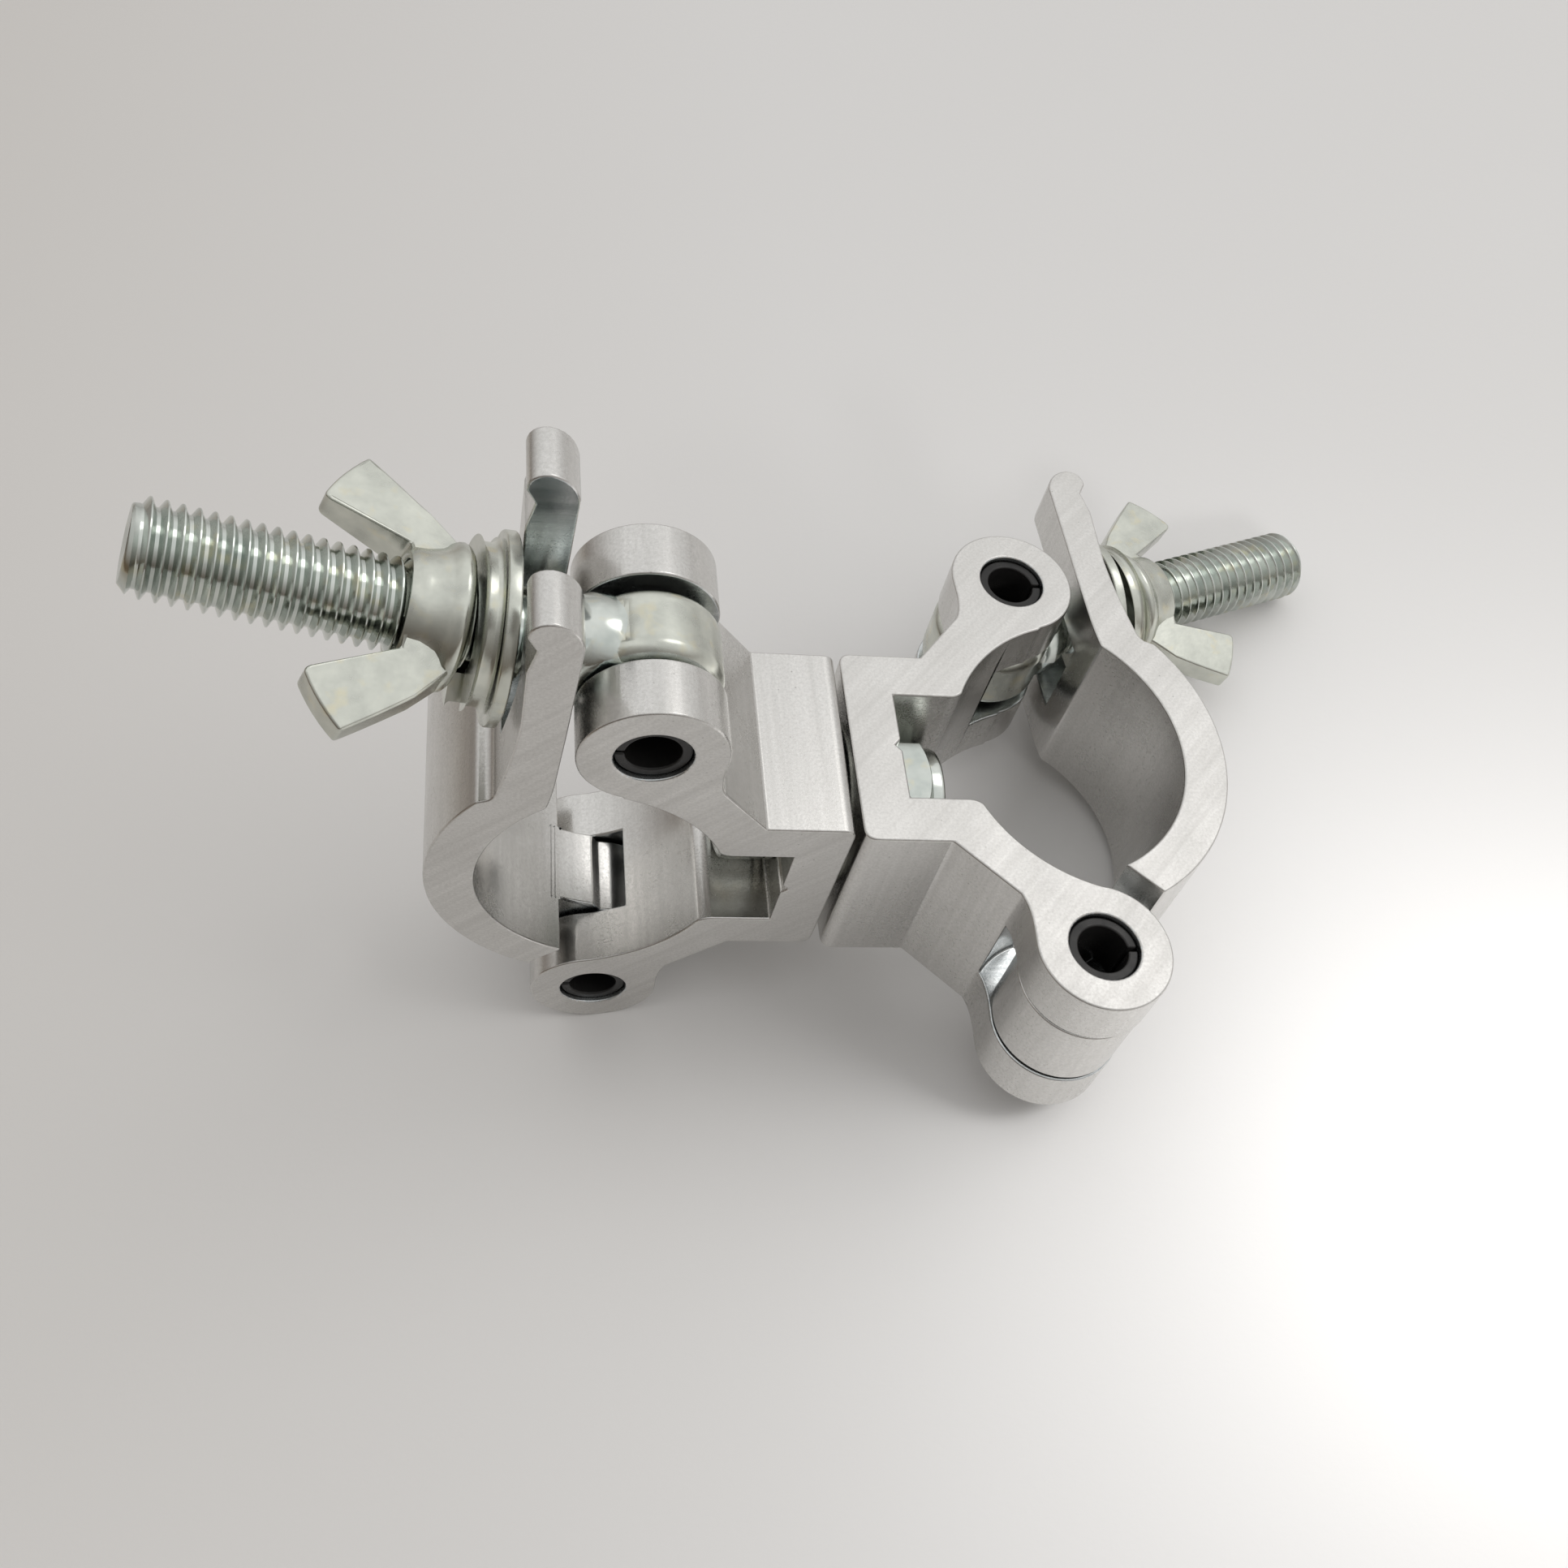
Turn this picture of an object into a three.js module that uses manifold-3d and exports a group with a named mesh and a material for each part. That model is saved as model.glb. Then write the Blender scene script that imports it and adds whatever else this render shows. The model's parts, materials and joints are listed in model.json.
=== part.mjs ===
// Double swivel coupler for round tube: two identical aluminium half clamps that
// turn on one bolt. Each half has a hinged jaw, closed by an eye bolt, two washers
// and a wing nut. Millimetres, +Z up, lying on the ground plane z = 0.
//
// Each half is drawn in its own frame: a runs away from the face where the halves
// meet, b runs across the tube seat towards the eye bolt, c runs along the tube.

import * as THREE from 'three';
import { mergeVertices } from 'three/addons/utils/BufferGeometryUtils.js';
import Module from 'manifold-3d';

const wasm = await Module();
wasm.setup();

// ---- driving dimensions ----

const halfWidth = 30;          // length of the extruded profile, along the tube
const faceGap = 1.1;           // between the two meeting faces
const swivelAngle = 92.3;      // how far the left half is turned on the swivel, degrees
const lieTilt = 17.5;          // how the coupler leans on the ground, about Y and X
const lieRoll = 0.364;

const baseHeight = 32.6;       // across the block behind the tube seat
const baseDepth = 12.6;        // straight side of the block
const webThickness = 7.45;     // between the meeting face and the recess floor
const recessHeight = 18;       // channel that holds the head and nut of the swivel bolt
const markDepth = 0.9;         // scribed centre line on the recess floor
const seatRadius = 24.1;
const seatCentre = 40.1;       // from the meeting face
const lugRadius = 9.7;
const eyeCentre = [30, 32.6];
const hingeCentre = [31.2, -32.5];
const lugSlot = 13.3;          // width of the slot in each lug
const slotRadius = 12.7;       // of the cutter that makes it
const tongueClearance = 0.45;  // each side of the jaw's tongue
const pinRadius = 4.95;
const pinWall = 1.4;
const pinLength = 28.4;
const pinClearance = 0.1;
const gap = 0.3;               // between pieces that touch

const jawInnerRadius = 23.75;
const jawInnerCentre = [27, 2];
const jawOuterRadius = 30.3;
const jawOuterCentre = [27.3, 2.6];
const barrelRadius = 9.5;
const forkSlot = 13.9;
const forkSlotEnd = 25.5;      // b of the closed end of the fork slot

const threadRadius = 5.9;      // M12 thread, plain here
const boltLength = 63.6;       // from the eye centre to the end
const boltOffset = 0.3;        // the eye lies nearer to one side of its slot
const boltAngle = { left: 16.3, right: 19.9 };   // from the a axis, degrees
const eyeRadius = 9.6;
const eyeWidth = 10.8;
const flatWasher = { outer: 12.2, inner: 6.7, thickness: 1.8 };
const springWasher = { outer: 10.1, inner: 6.4, thickness: 2.3, rise: 1.6, splitAt: 225 };

// Distance from the eye centre along the bolt, and lean about c in degrees. The
// washers lie against the sloping arm of the jaw, so they lean more than the nut.
const stack = {
  left: { flatWasher: [20.1, 9], springWasher: [23.1, 6], nut: 25.5, wingTurn: 80 },
  right: { flatWasher: [20.6, 11.5], springWasher: [23.86, 7], nut: 26.2, wingTurn: 9 },
};
const nutHeight = 7.3;
const nutBore = 6.1;
const wing = { thickness: 4.2, innerTip: [11.4, 17.3], outerTip: [18.4, 12.7] };

const swivelRadius = 6;
const swivelHead = { radius: 8.7, height: 6.6, socketRadius: 5.77, socketDepth: 4.5 };
const swivelNut = { acrossFlats: 17.4, height: 5.8, collarRadius: 8.5, collarHeight: 2 };
const headWasher = { radius: 8.7, thickness: 1 };
const thrustWasherRadius = 12;
const lockRing = { radius: 7.6, thickness: 1.5 };

const deg = Math.PI / 180;

// ---- materials ----

const aluminium = new THREE.MeshStandardMaterial({ color: 0xb9b6b0, roughness: 0.45, metalness: 0.9 });
const zinc = new THREE.MeshStandardMaterial({ color: 0xb4b8b4, roughness: 0.3, metalness: 1 });
const blackSteel = new THREE.MeshStandardMaterial({ color: 0x1c1b1a, roughness: 0.4, metalness: 0.8 });
const nylon = new THREE.MeshStandardMaterial({ color: 0xd8d4c8, roughness: 0.6, metalness: 0 });

// ---- solids ----

function solid(geometry) {
  const bare = geometry.clone();
  bare.deleteAttribute('normal');
  bare.deleteAttribute('uv');
  const welded = mergeVertices(bare, 1e-4);
  return new wasm.Manifold(new wasm.Mesh({
    numProp: 3,
    vertProperties: new Float32Array(welded.attributes.position.array),
    triVerts: new Uint32Array(welded.index.array),
  }));
}

function piece(name, manifold, material) {
  const { vertProperties, triVerts } = manifold.getMesh();
  const geometry = new THREE.BufferGeometry();
  geometry.setAttribute('position', new THREE.BufferAttribute(vertProperties, 3));
  geometry.setIndex(new THREE.BufferAttribute(triVerts, 1));
  geometry.computeVertexNormals();
  const mesh = new THREE.Mesh(geometry, material);
  mesh.name = name;
  return mesh;
}

// A shape in the a-b plane, extruded along c and centred on c = 0.
function extruded(shape, width, segments = 20) {
  const options = { depth: width, bevelEnabled: false, curveSegments: segments };
  return new THREE.ExtrudeGeometry(shape, options).translate(0, 0, -width / 2);
}

// A cylinder whose axis runs along c.
function across([a, b], radius, width, segments = 48) {
  return new THREE.CylinderGeometry(radius, radius, width, segments)
    .rotateX(Math.PI / 2)
    .translate(a, b, 0);
}

// A turned piece whose axis runs along a, from [radius, a] points.
function turned(profile, segments = 40) {
  const points = profile.map(([r, a]) => new THREE.Vector2(r, a));
  return new THREE.LatheGeometry([...points, points[0].clone()], segments)
    .rotateZ(-Math.PI / 2);
}

// A plain ring whose axis runs along a, centred on a = 0.
function ring(outer, inner, thickness, segments = 48) {
  const half = thickness / 2;
  return turned([[inner, -half], [outer, -half], [outer, half], [inner, half]], segments);
}

function onCircle([a, b], radius, degrees) {
  return [a + radius * Math.cos(degrees * deg), b + radius * Math.sin(degrees * deg)];
}

// ---- body ----

// Half of the body's outline, on the side where b has the given sign. It runs from
// the meeting face round the lug and the seat to the floor of the recess.
function bodySide([lugA, lugB], side) {
  const top = baseHeight / 2;
  const corner = 2;
  const lug = Math.abs(lugB);
  const mouth = recessHeight / 2;
  const path = new THREE.Path();
  path.moveTo(0, 0);
  path.lineTo(0, top - corner);
  path.quadraticCurveTo(0, top, corner, top);
  path.lineTo(baseDepth, top);
  path.lineTo(lugA - 10.4, lug - 8);
  path.quadraticCurveTo(lugA - 9.5, lug - 6.2, lugA - 9.55, lug - 3);
  path.lineTo(lugA - lugRadius, lug);
  path.absarc(lugA, lug, lugRadius, Math.PI, -72 * deg, true);
  const from = Math.PI - Math.asin(22.9 / seatRadius);
  const to = Math.PI - Math.asin(9.8 / seatRadius);
  path.absarc(seatCentre, 0, seatRadius, from, to, false);
  path.quadraticCurveTo(17.2, mouth, 16, mouth);
  path.lineTo(webThickness, mouth);
  path.lineTo(webThickness, 1);
  path.lineTo(webThickness - markDepth, 0);
  return path.getPoints(14).map((p) => new THREE.Vector2(p.x, side * p.y));
}

function bodySolid() {
  const upper = bodySide(eyeCentre, 1);
  const lower = bodySide(hingeCentre, -1);
  const outline = [...upper.slice(1), ...lower.slice(1, -1).reverse()];
  let body = solid(extruded(new THREE.Shape(outline), halfWidth));
  for (const centre of [eyeCentre, hingeCentre]) {
    body = body.subtract(solid(across(centre, slotRadius, lugSlot, 56)));
    body = body.subtract(solid(across(centre, pinRadius + pinClearance, halfWidth + 2)));
  }
  const bore = turned([[0, -1], [swivelRadius + gap, -1], [swivelRadius + gap, 12], [0, 12]]);
  return body.subtract(solid(bore));
}

// ---- jaw ----

function arcPoints(centre, radius, fromDegrees, toDegrees, steps) {
  const points = [];
  for (let i = 0; i <= steps; i += 1) {
    const at = fromDegrees + (toDegrees - fromDegrees) * i / steps;
    points.push(new THREE.Vector2(...onCircle(centre, radius, at)));
  }
  return points;
}

function jawSolid() {
  const shape = new THREE.Shape();
  shape.setFromPoints(arcPoints(jawInnerCentre, jawInnerRadius, -64.5, 50, 22));
  shape.quadraticCurveTo(41.9, 22, 41.6, 25.5);
  shape.lineTo(41.1, 36);
  shape.lineTo(40.4, 54);
  shape.quadraticCurveTo(41.2, 57.6, 44.2, 58.2);
  shape.quadraticCurveTo(46.9, 58.2, 47, 55.4);
  shape.lineTo(45.8, 53.2);
  shape.lineTo(46.7, 49);
  shape.lineTo(46.7, 38.5);
  shape.quadraticCurveTo(46.9, 33, 48.9, 23);
  shape.quadraticCurveTo(49.4, 21.8, 50.2, 21.6);
  const outer = arcPoints(jawOuterCentre, jawOuterRadius, 38, -61, 22);
  outer.forEach((p) => shape.lineTo(p.x, p.y));
  shape.closePath();

  const [a, b] = hingeCentre;
  const tongue = new THREE.Shape();
  tongue.setFromPoints([
    ...arcPoints(jawInnerCentre, jawInnerRadius, -60, -78, 5),
    new THREE.Vector2(...onCircle(hingeCentre, barrelRadius, 92)),
    new THREE.Vector2(a, b),
    new THREE.Vector2(...onCircle(hingeCentre, barrelRadius, 0)),
    new THREE.Vector2(...onCircle(jawOuterCentre, jawOuterRadius, -59)),
    new THREE.Vector2(...onCircle(jawOuterCentre, jawOuterRadius, -54)),
  ]);
  const tongueWidth = lugSlot - 2 * tongueClearance;
  const slot = new THREE.BoxGeometry(40, 60, forkSlot)
    .translate(45, forkSlotEnd + 30, 0);

  return solid(extruded(shape, halfWidth))
    .add(solid(extruded(tongue, tongueWidth)))
    .add(solid(across(hingeCentre, barrelRadius, tongueWidth, 56)))
    .subtract(solid(slot))
    .subtract(solid(across(hingeCentre, pinRadius + pinClearance, halfWidth)));
}

// ---- pins ----

function pinSolid(centre) {
  const slit = new THREE.BoxGeometry(8, 1.2, pinLength + 2).translate(centre[0] + 4, centre[1], 0);
  return solid(across(centre, pinRadius, pinLength))
    .subtract(solid(across(centre, pinRadius - pinWall, pinLength + 2)))
    .subtract(solid(slit));
}

// ---- eye bolt and its washers and nut: axis along a, eye at the origin ----

function eyeboltSolid() {
  const end = boltLength;
  const shank = turned([
    [0, 6], [threadRadius, 6], [threadRadius, end - 1.5], [threadRadius - 1.5, end], [0, end],
  ]);
  const collar = turned([[0, 2], [7.6, 2], [7.4, 7], [threadRadius, 12.5], [0, 12.5]]);
  const slab = new THREE.BoxGeometry(40, 40, eyeWidth);
  return solid(collar)
    .intersect(solid(slab))
    .add(solid(shank))
    .add(solid(across([0, 0], eyeRadius, eyeWidth, 56)))
    .subtract(solid(across([0, 0], pinRadius + pinClearance, 30)));
}

function flatWasherSolid() {
  return solid(ring(flatWasher.outer, flatWasher.inner, flatWasher.thickness));
}

// One turn of a flat right-hand helix, split where its ends pass each other.
function springWasherSolid() {
  const { outer, inner, thickness, rise, splitAt } = springWasher;
  const steps = 48;
  const opening = 10;
  const half = thickness / 2;
  const positions = [];
  const index = [0, 1, 2, 0, 2, 3];
  for (let i = 0; i <= steps; i += 1) {
    const at = (splitAt + opening / 2 + (360 - opening) * i / steps) * deg;
    const lift = rise * (i / steps - 0.5);
    for (const [r, a] of [[inner, -half], [outer, -half], [outer, half], [inner, half]]) {
      positions.push(a + lift, r * Math.cos(at), r * Math.sin(at));
    }
  }
  for (let i = 0; i < steps; i += 1) {
    for (let j = 0; j < 4; j += 1) {
      const near = 4 * i + j;
      const next = 4 * i + (j + 1) % 4;
      index.push(next, near, near + 4, next, near + 4, next + 4);
    }
  }
  const last = 4 * steps;
  index.push(last, last + 2, last + 1, last, last + 3, last + 2);
  return new wasm.Manifold(new wasm.Mesh({
    numProp: 3,
    vertProperties: new Float32Array(positions),
    triVerts: new Uint32Array(index),
  }));
}

function wingNutSolid() {
  const hub = turned([
    [0, 0], [8.7, 0], [9.3, 0.8], [9.2, 1.8], [8.4, 2.7], [7.7, 4], [7.3, nutHeight], [0, nutHeight],
  ]);
  const one = solid(extruded(wingShape(), wing.thickness, 8));
  return solid(hub)
    .add(one)
    .add(one.rotate([180, 0, 0]))
    .subtract(solid(turned([[0, -1], [nutBore, -1], [nutBore, 20], [0, 20]])));
}

// One wing in the a-b plane: a along the bolt, b away from it.
function wingShape() {
  const [innerB, innerA] = wing.innerTip;
  const [outerB, outerA] = wing.outerTip;
  const shape = new THREE.Shape();
  const root = nutHeight - 0.2;
  shape.moveTo(0.9, 4);
  shape.lineTo(0.9, 8.7);
  shape.lineTo(4.6, 12.5);
  shape.quadraticCurveTo(outerA - 3, outerB - 2, outerA, outerB);
  shape.quadraticCurveTo(outerA + 3, outerB - 2.9, innerA, innerB + 0.8);
  shape.quadraticCurveTo(innerA + 0.3, innerB, innerA - 0.6, innerB - 0.4);
  shape.lineTo(root, 7.1);
  shape.lineTo(root, 4);
  return shape;
}

// ---- swivel: axis along a, with the meeting plane at a = 0, nut on the +a side ----

const floorAt = faceGap / 2 + webThickness;

function swivelBoltSolid() {
  const seat = -(floorAt + headWasher.thickness + 2 * gap);
  const { radius, height, socketRadius, socketDepth } = swivelHead;
  const shank = swivelRadius - 0.1;
  const end = floorAt + swivelNut.height + gap + lockRing.thickness - 0.7;
  const shape = turned([
    [0, seat - height], [radius - 0.8, seat - height], [radius, seat - height + 0.8],
    [radius, seat], [shank, seat], [shank, end], [0, end],
  ]);
  const socket = new THREE.CylinderGeometry(socketRadius, socketRadius, 2 * socketDepth, 6)
    .rotateZ(Math.PI / 2)
    .translate(seat - height, 0, 0);
  return solid(shape).subtract(solid(socket));
}

// A hexagon nut with a thin collar round its lock ring.
function swivelNutSolid() {
  const { acrossFlats, height, collarRadius, collarHeight } = swivelNut;
  const hexRadius = acrossFlats / Math.sqrt(3);
  const start = floorAt + gap;
  const end = start + height;
  const hex = new THREE.CylinderGeometry(hexRadius, hexRadius, height, 6)
    .rotateX(Math.PI / 6)
    .rotateZ(Math.PI / 2)
    .translate(start + height / 2, 0, 0);
  const round = turned([
    [0, start], [hexRadius + 0.1, start], [hexRadius + 0.1, end - 1], [hexRadius - 1.2, end], [0, end],
  ]);
  const collar = turned([
    [0, end - 1], [collarRadius, end - 1], [collarRadius, end + collarHeight - 0.4],
    [collarRadius - 0.3, end + collarHeight], [0, end + collarHeight],
  ]);
  const bore = turned([[0, 0], [swivelRadius, 0], [swivelRadius, end + 1], [0, end + 1]]);
  const pocketRadius = lockRing.radius + gap / 2;
  const pocket = turned([[0, end], [pocketRadius, end], [pocketRadius, end + 5], [0, end + 5]]);
  return solid(hex)
    .intersect(solid(round))
    .add(solid(collar))
    .subtract(solid(bore))
    .subtract(solid(pocket));
}

// ---- assembly ----

function halfClamp(side) {
  const group = new THREE.Group();
  group.add(piece(`${side}_body`, bodySolid(), aluminium));
  group.add(piece(`${side}_jaw`, jawSolid(), aluminium));
  group.add(piece(`${side}_hinge_pin`, pinSolid(hingeCentre), blackSteel));
  group.add(piece(`${side}_eyebolt_pin`, pinSolid(eyeCentre), blackSteel));

  const bolt = new THREE.Group();
  const frontSide = side === 'left' ? -1 : 1;
  bolt.position.set(...eyeCentre, frontSide * boltOffset);
  bolt.rotation.z = boltAngle[side] * deg;
  bolt.add(piece(`${side}_eyebolt`, eyeboltSolid(), zinc));

  const place = stack[side];
  const flat = piece(`${side}_flat_washer`, flatWasherSolid(), zinc);
  flat.position.x = place.flatWasher[0];
  flat.rotation.z = -place.flatWasher[1] * deg;
  const spring = piece(`${side}_spring_washer`, springWasherSolid(), zinc);
  spring.position.x = place.springWasher[0];
  spring.rotation.z = -place.springWasher[1] * deg;
  const nut = piece(`${side}_wing_nut`, wingNutSolid(), zinc);
  nut.position.x = place.nut;
  nut.rotation.x = place.wingTurn * deg;
  bolt.add(flat, spring, nut);
  group.add(bolt);
  return group;
}

const swivelFrame = new THREE.Group();

const right = halfClamp('right');
right.position.x = faceGap / 2;
swivelFrame.add(right);

const left = halfClamp('left');
left.rotation.set(swivelAngle * deg, Math.PI, 0);
left.position.x = -faceGap / 2;
swivelFrame.add(left);

swivelFrame.add(piece('swivel_bolt', swivelBoltSolid(), zinc));
swivelFrame.add(piece('swivel_nut', swivelNutSolid(), zinc));

const thrustRing = ring(thrustWasherRadius, swivelRadius + gap, faceGap - 2 * gap);
swivelFrame.add(piece('swivel_thrust_washer', solid(thrustRing), zinc));

const headRing = ring(headWasher.radius, swivelRadius + gap, headWasher.thickness);
const headPiece = piece('swivel_head_washer', solid(headRing), zinc);
headPiece.position.x = -(floorAt + gap + headWasher.thickness / 2);
swivelFrame.add(headPiece);

const nylonRing = ring(lockRing.radius, swivelRadius, lockRing.thickness);
const lockPiece = piece('swivel_lock_ring', solid(nylonRing), nylon);
lockPiece.position.x = floorAt + swivelNut.height + 1.5 * gap + lockRing.thickness / 2;
swivelFrame.add(lockPiece);

// The coupler leans on the left hinge lug and on the right half, so the swivel axis
// slopes down to the right. The lowest point is brought to z = 0, under the origin.
swivelFrame.rotation.set(lieRoll * deg, lieTilt * deg, 0);
const coupler = new THREE.Group();
coupler.add(swivelFrame);
coupler.updateMatrixWorld(true);
const box = new THREE.Box3().setFromObject(coupler, true);
const middle = box.getCenter(new THREE.Vector3());
swivelFrame.position.set(-middle.x, -middle.y, -box.min.z);

export default coupler;
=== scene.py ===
"""Looks of a double swivel coupler: two hinged aluminium half clamps on one bolt.

Every piece is drawn in millimetres in the frame of its half clamp or of its bolt, then
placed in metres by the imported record. In a half clamp a runs away from the face where
the halves meet, b runs across the tube seat towards the eye bolt, and c along the tube.
"""

import json
import math

import bmesh
import bpy
from mathutils import Matrix, Vector


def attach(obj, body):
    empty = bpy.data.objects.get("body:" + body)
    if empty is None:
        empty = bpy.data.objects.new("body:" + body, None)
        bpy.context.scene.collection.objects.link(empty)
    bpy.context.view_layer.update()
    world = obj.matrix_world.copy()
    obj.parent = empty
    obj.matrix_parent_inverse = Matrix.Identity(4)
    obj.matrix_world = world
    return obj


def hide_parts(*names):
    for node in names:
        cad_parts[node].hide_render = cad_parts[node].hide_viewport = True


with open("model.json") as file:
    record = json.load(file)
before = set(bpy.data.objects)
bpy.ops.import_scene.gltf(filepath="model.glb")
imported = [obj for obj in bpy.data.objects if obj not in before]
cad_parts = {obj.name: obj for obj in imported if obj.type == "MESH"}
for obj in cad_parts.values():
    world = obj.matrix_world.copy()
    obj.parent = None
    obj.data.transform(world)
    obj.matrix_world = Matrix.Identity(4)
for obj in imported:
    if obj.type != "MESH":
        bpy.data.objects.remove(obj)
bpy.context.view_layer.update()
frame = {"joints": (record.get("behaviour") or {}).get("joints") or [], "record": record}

MM = 0.001
SIDES = ("right", "left")

# ---- driving dimensions, in millimetres ----

HALF_WIDTH = 30
FACE_GAP = 1.1
GAP = 0.3

BASE_HEIGHT = 32.6
BASE_DEPTH = 12.6
WEB = 7.45
RECESS_HEIGHT = 18
SEAT_RADIUS = 24.1
SEAT_CENTRE = (40.1, 0)
SEAT_TIP = 22.9                 # how far across the seat reaches
SEAT_MOUTH = 9.8                # where the seat gives way to the recess
LUG_RADIUS = 9.7
EYE_CENTRE = (30, 32.6)
HINGE_CENTRE = (31.2, -32.5)
LUG_SLOT = 13.3
SLOT_RADIUS = 12.7              # of the cutter that makes it
TONGUE_CLEARANCE = 0.45         # each side of the jaw's tongue

JAW_INNER = ((27, 2), 23.75)
JAW_OUTER = ((27.3, 2.6), 30.3)
BARREL_RADIUS = 9.5
FORK_SLOT = 13.9
FORK_SLOT_END = 25.5

PIN_RADIUS = 4.95
PIN_WALL = 1.4
PIN_LENGTH = 28.4
PIN_SLIT = 0.5
PIN_HOLE_RADIUS = PIN_RADIUS + 0.1

BOLT_END = 63.6
EYE_RADIUS = 9.6
EYE_WIDTH = 10.8
COLLAR_END = 12.5
THREAD_START = 13.5
PITCH = 1.75
CREST = 5.84
ROOT = 4.8
MEAN_RADIUS = (CREST + ROOT) / 2
SPIN_POINT = 30                # where the nut's joint lies along the bolt

FLAT_WASHER = {"outer": 12.2, "inner": 6.7, "thickness": 1.8}
SPRING_WASHER = {"outer": 10.1, "inner": 6.4, "thickness": 2.3, "rise": 1.6, "split_at": 225}
STACK = {
    "left": {"flat": (20.1, 9), "spring": (23.1, 6), "nut": 25.5, "turn": 80},
    "right": {"flat": (20.6, 11.5), "spring": (23.86, 7), "nut": 26.2, "turn": 9},
}
NUT_HEIGHT = 7.3
NUT_BORE = 5.95
WING_THICKNESS = 4.2
WING_INNER_TIP = (11.4, 17.3)
WING_OUTER_TIP = (18.4, 12.7)

SWIVEL_RADIUS = 6
HEAD_RADIUS = 8.7
HEAD_HEIGHT = 6.6
SOCKET_RADIUS = 5.77
SOCKET_DEPTH = 4.5
NUT_ACROSS_FLATS = 17.4
SWIVEL_NUT_HEIGHT = 5.8
COLLAR_RADIUS = 8.5
COLLAR_HEIGHT = 2
HEAD_WASHER_THICKNESS = 1
THRUST_WASHER_RADIUS = 12
LOCK_RING_RADIUS = 7.6
LOCK_RING_THICKNESS = 1.5


# ---- frames ----

joints = {joint["name"]: joint for joint in frame["joints"]}
body_of = {
    node: body
    for body, nodes in frame["record"]["behaviour"]["bodies"].items()
    for node in nodes
}


def axes(a, c, origin):
    """The matrix of a frame from its a and c directions and its origin, in metres."""
    b = c.cross(a)
    turn = Matrix((a, b, c)).transposed()
    return Matrix.Translation(origin) @ turn.to_4x4()


def half_frame(side):
    away = Vector(joints["swivel"]["axis"])
    if side == "left":
        away = -away
    along = -Vector(joints[f"{side}_jaw_hinge"]["axis"])
    across = along.cross(away)
    eye = Vector(joints[f"{side}_eyebolt_swing"]["pos_m"])
    origin = eye - (EYE_CENTRE[0] * away + EYE_CENTRE[1] * across) * MM
    return axes(away, along, origin)


def bolt_frame(side):
    spin = joints[f"{side}_nut_spin"]
    out = Vector(spin["axis"])
    along = -Vector(joints[f"{side}_jaw_hinge"]["axis"])
    return axes(out, along, Vector(spin["pos_m"]) - SPIN_POINT * MM * out)


def swivel_frame():
    out = Vector(joints["swivel"]["axis"])
    along = -Vector(joints["right_jaw_hinge"]["axis"])
    return axes(out, along, Vector(joints["swivel"]["pos_m"]))


def on_bolt(distance, lean=0, turn=0):
    """A place along a bolt: distance in mm, lean about c and turn about the bolt."""
    return (
        Matrix.Translation((distance * MM, 0, 0))
        @ Matrix.Rotation(math.radians(-lean), 4, "Z")
        @ Matrix.Rotation(math.radians(turn), 4, "X")
    )


# ---- outlines ----

def polar(centre, radius, degrees):
    angle = math.radians(degrees)
    return centre[0] + radius * math.cos(angle), centre[1] + radius * math.sin(angle)


def arc(centre, radius, start, end, step=0.7):
    count = max(2, round(abs(math.radians(end - start)) * radius / step))
    return [polar(centre, radius, start + (end - start) * i / count) for i in range(count + 1)]


def bend(start, pull, end, count=6):
    """A quadratic curve from start to end, drawn towards pull."""
    points = []
    for i in range(count + 1):
        t = i / count
        weights = ((1 - t) ** 2, 2 * t * (1 - t), t * t)
        points.append(tuple(
            sum(w * p[k] for w, p in zip(weights, (start, pull, end))) for k in (0, 1)
        ))
    return points


def without_repeats(points, closest=0.05):
    kept = []
    for point in points:
        if not kept or math.dist(point, kept[-1]) > closest:
            kept.append(point)
    if math.dist(kept[0], kept[-1]) < closest:
        kept.pop()
    return kept


# ---- meshes ----

def as_object(name, mesh_data, *materials):
    bmesh.ops.recalc_face_normals(mesh_data, faces=mesh_data.faces)
    mesh = bpy.data.meshes.new(name)
    mesh_data.to_mesh(mesh)
    mesh_data.free()
    for material in materials:
        mesh.materials.append(material)
    obj = bpy.data.objects.new(name, mesh)
    bpy.context.scene.collection.objects.link(obj)
    return obj


def skin(mesh_data, rings, closed=False):
    """Joins rings of points with quads, each ring to the next."""
    pairs = list(zip(rings, rings[1:]))
    if closed:
        pairs.append((rings[-1], rings[0]))
    for low, high in pairs:
        for i in range(len(low)):
            j = (i + 1) % len(low)
            mesh_data.faces.new((low[i], low[j], high[j], high[i]))


def weld(mesh_data):
    bmesh.ops.remove_doubles(mesh_data, verts=mesh_data.verts, dist=1e-4)
    bmesh.ops.dissolve_degenerate(mesh_data, dist=1e-5, edges=mesh_data.edges)


def prism(name, outline, width, *materials):
    """An outline in the a-b plane with a width along c; its ends take the last material."""
    points = without_repeats(outline)
    data = bmesh.new()
    low = [data.verts.new((a, b, -width / 2)) for a, b in points]
    high = [data.verts.new((a, b, width / 2)) for a, b in points]
    skin(data, [low, high])
    for ring in (low, high):
        data.faces.new(ring).material_index = len(materials) - 1
    return as_object(name, data, *materials)


def ring_at(data, radius, a, segments):
    points = []
    for i in range(segments):
        angle = 2 * math.pi * i / segments
        points.append(data.verts.new((a, radius * math.cos(angle), radius * math.sin(angle))))
    return points


def turned(name, profile, material, closed=False, segments=96):
    """A piece turned about a, from (radius, a) points."""
    data = bmesh.new()
    skin(data, [ring_at(data, r, a, segments) for r, a in profile], closed)
    weld(data)
    return as_object(name, data, material)


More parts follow.
